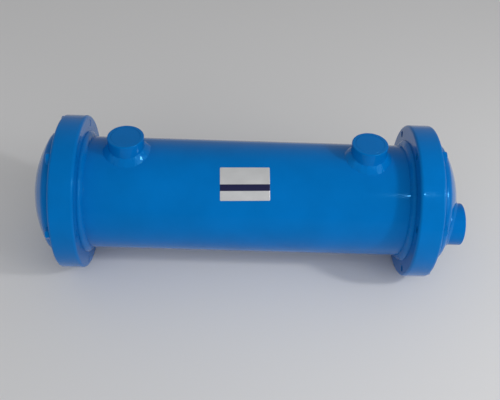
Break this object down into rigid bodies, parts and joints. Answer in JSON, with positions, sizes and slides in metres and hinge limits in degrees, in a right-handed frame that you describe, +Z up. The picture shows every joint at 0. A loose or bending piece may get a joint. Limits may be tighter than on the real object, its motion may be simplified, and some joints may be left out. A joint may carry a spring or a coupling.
{
  "type": "shell and tube heat exchanger",
  "caption": "Horizontal shell and tube heat exchanger with bolted dished covers, pipe sockets on top of the shell and in one cover.",
  "frame": {"origin": "on the floor under the middle of the whole length, between the two rims that the exchanger lies on", "axes": "+X along the shell towards the end with the water ports, +Z up with the shell nozzles on top"},
  "size_m": [0.6348, 0.231, 0.231],
  "materials": {
    "blue_enamel": "glossy blue enamel",
    "gasket_sheet": "fibre sheet, painted over at its rim",
    "copper_tube": "drawn copper alloy",
    "bare_steel": "bare machined steel"
  },
  "bodies": {
    "root": {"baffle_1": "bare_steel", "baffle_2": "bare_steel", "baffle_3": "bare_steel", "baffle_4": "bare_steel", "far_port": "blue_enamel", "far_port_plug": "blue_enamel", "far_port_weld": "blue_enamel", "far_tubes": "copper_tube", "left_cover_flange": "blue_enamel", "left_gasket": "gasket_sheet", "left_head": "blue_enamel", "left_head_weld": "blue_enamel", "left_nozzle": "blue_enamel", "left_nozzle_plug": "blue_enamel", "left_nozzle_weld": "blue_enamel", "left_shell_weld": "blue_enamel", "left_tube_sheet": "blue_enamel", "near_port": "blue_enamel", "near_port_plug": "blue_enamel", "near_port_weld": "blue_enamel", "near_tubes": "copper_tube", "pass_partition": "bare_steel", "right_cover_flange": "blue_enamel", "right_gasket": "gasket_sheet", "right_head": "blue_enamel", "right_head_weld": "blue_enamel", "right_nozzle": "blue_enamel", "right_nozzle_plug": "blue_enamel", "right_nozzle_weld": "blue_enamel", "right_shell_weld": "blue_enamel", "right_tube_sheet": "blue_enamel", "shell": "blue_enamel", "tie_rod_nuts": "bare_steel", "tie_rod_spacers": "bare_steel", "tie_rods": "bare_steel"}
  },
  "joints": []
}
